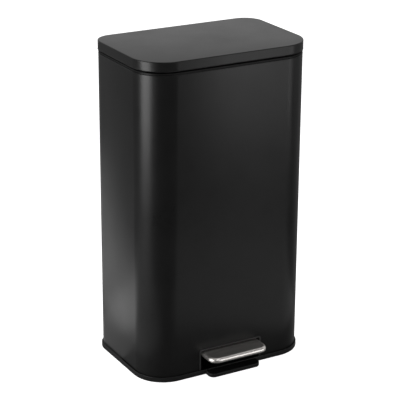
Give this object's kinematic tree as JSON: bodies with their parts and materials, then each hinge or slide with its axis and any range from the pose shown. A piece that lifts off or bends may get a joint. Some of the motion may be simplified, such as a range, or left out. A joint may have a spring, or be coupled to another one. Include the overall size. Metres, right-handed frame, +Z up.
{
  "type": "pedal bin",
  "caption": "Slim rectangular step bin in black steel with a hinged lid, a lift-out bucket and a steel-clad pedal that opens the lid through a lever and rod.",
  "frame": {"origin": "on the floor, at the centre of the whole bin's footprint, pedal and hinge housing included", "axes": "+Z up, -Y towards the pedal at the front, +X to the right as seen from the front"},
  "size_m": [0.3512, 0.2884, 0.62],
  "materials": {
    "base_plastic": "moulded black polypropylene, fine texture",
    "black_steel": "satin black powder-coated steel",
    "lid_steel": "satin black powder-coated steel",
    "black_plastic": "moulded black plastic",
    "bucket_plastic": "moulded dark grey polypropylene",
    "pedal_steel": "brushed stainless steel",
    "zinc_steel": "zinc-plated pressed steel",
    "bright_steel": "drawn bright steel bar",
    "screw_steel": "zinc-plated screws",
    "damper_black": "black damper housing",
    "rubber": "soft black rubber",
    "bush_nylon": "natural nylon"
  },
  "bodies": {
    "bin_body": {"base_ring": "base_plastic", "foot_front_left": "rubber", "foot_front_right": "rubber", "foot_rear_left": "rubber", "foot_rear_right": "rubber", "outer_shell": "black_steel", "pedal_bezel": "black_plastic", "base_screws": "screw_steel", "pedal_stop_pad": "rubber", "pedal_axle": "bright_steel", "axle_clips": "bright_steel", "top_collar": "black_plastic", "bucket_ring": "black_plastic", "hinge_bracket": "zinc_steel", "hinge_pin": "bright_steel", "hinge_screws": "screw_steel", "hinge_housing": "black_plastic", "housing_screws": "screw_steel", "rod_guide_upper": "black_plastic", "rod_guide_lower": "black_plastic", "damper_cylinder": "damper_black", "damper_clamps": "zinc_steel", "rear_screws": "screw_steel"},
    "lid": {"lid_skin": "lid_steel", "lid_liner": "black_plastic", "lid_hinge_bracket": "zinc_steel", "lid_screws": "screw_steel", "lid_bumpers": "rubber"},
    "pedal": {"pedal_lever": "zinc_steel", "lever_bushes": "bush_nylon", "pedal_core": "black_plastic", "pedal_cap": "pedal_steel", "pedal_screws": "screw_steel"},
    "rod": {"lift_rod": "bright_steel", "rod_top_pin": "bright_steel", "rod_bottom_pin": "bright_steel", "cross_arm": "zinc_steel", "damper_rod": "bright_steel"},
    "bucket": {"inner_bucket": "bucket_plastic"}
  },
  "joints": [
    {"name": "lid_hinge", "type": "hinge", "parent": "bin_body", "child": "lid", "pos_m": [0, 0.1328, 0.592], "axis": [-1, 0, 0], "range_deg": [0, 80]},
    {"name": "pedal_press", "type": "hinge", "parent": "bin_body", "child": "pedal", "pos_m": [0, -0.0505, 0.036], "axis": [1, 0, 0], "range_deg": [0, 14.02]},
    {"name": "rod_lift", "type": "slide", "parent": "bin_body", "child": "rod", "axis": [0, 0, 1], "range_m": [0, 0.03905]},
    {"name": "bucket_lift", "type": "slide", "parent": "bin_body", "child": "bucket", "axis": [0, 0, 1], "range_m": [0, 0.009]}
  ],
  "couplings": [
    {"joint": "pedal_press", "follows": "lid_hinge", "ratio": 0.17502},
    {"joint": "rod_lift", "follows": "lid_hinge", "m_per_rad": 0.027932}
  ]
}
